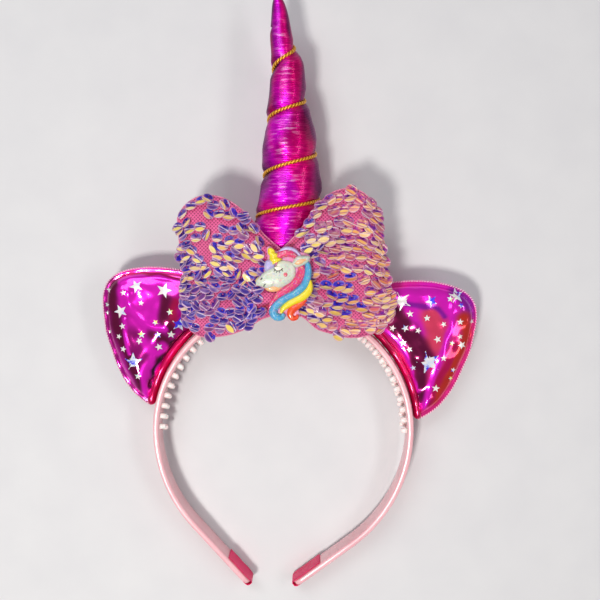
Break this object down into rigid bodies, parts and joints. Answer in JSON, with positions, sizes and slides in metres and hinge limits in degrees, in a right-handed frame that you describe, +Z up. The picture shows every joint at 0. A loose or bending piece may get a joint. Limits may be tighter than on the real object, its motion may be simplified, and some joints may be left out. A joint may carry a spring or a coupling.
{
  "type": "unicorn horn headband",
  "caption": "A child's hair band: toothed plastic arch under satin ribbon, padded ears, a stuffed horn wound with cord, a gathered bow and a resin unicorn charm, lying on its back.",
  "frame": {"origin": "bottom centre of the bounding box, on the surface that the headband lies on", "axes": "+Y along the headband from its tips to the horn's point, +Z up out of the bow's front, +X to the right as seen from above with the horn away from the viewer"},
  "size_m": [0.1794, 0.2822, 0.0403],
  "materials": {
    "band": "glossy translucent pale pink moulded plastic",
    "ribbon": "hot pink satin, fine cross ribs",
    "ear_left": "mirror-like magenta foil cloth with silver stars",
    "ear_right": "mirror-like magenta foil cloth with silver stars",
    "horn": "metallic magenta cloth with fine cross ribs",
    "horn_cord": "twisted metallic gold cord",
    "bow": "pink knitted mesh sewn over with clear iridescent sequins",
    "unicorn_charm": "glossy glittered resin, painted in white, pink, blue, yellow and red-orange"
  },
  "bodies": {
    "root": {"band": "band", "ribbon": "ribbon", "ear_left": "ear_left", "ear_right": "ear_right", "horn": "horn", "horn_cord": "horn_cord", "bow": "bow", "unicorn_charm": "unicorn_charm"}
  },
  "joints": []
}
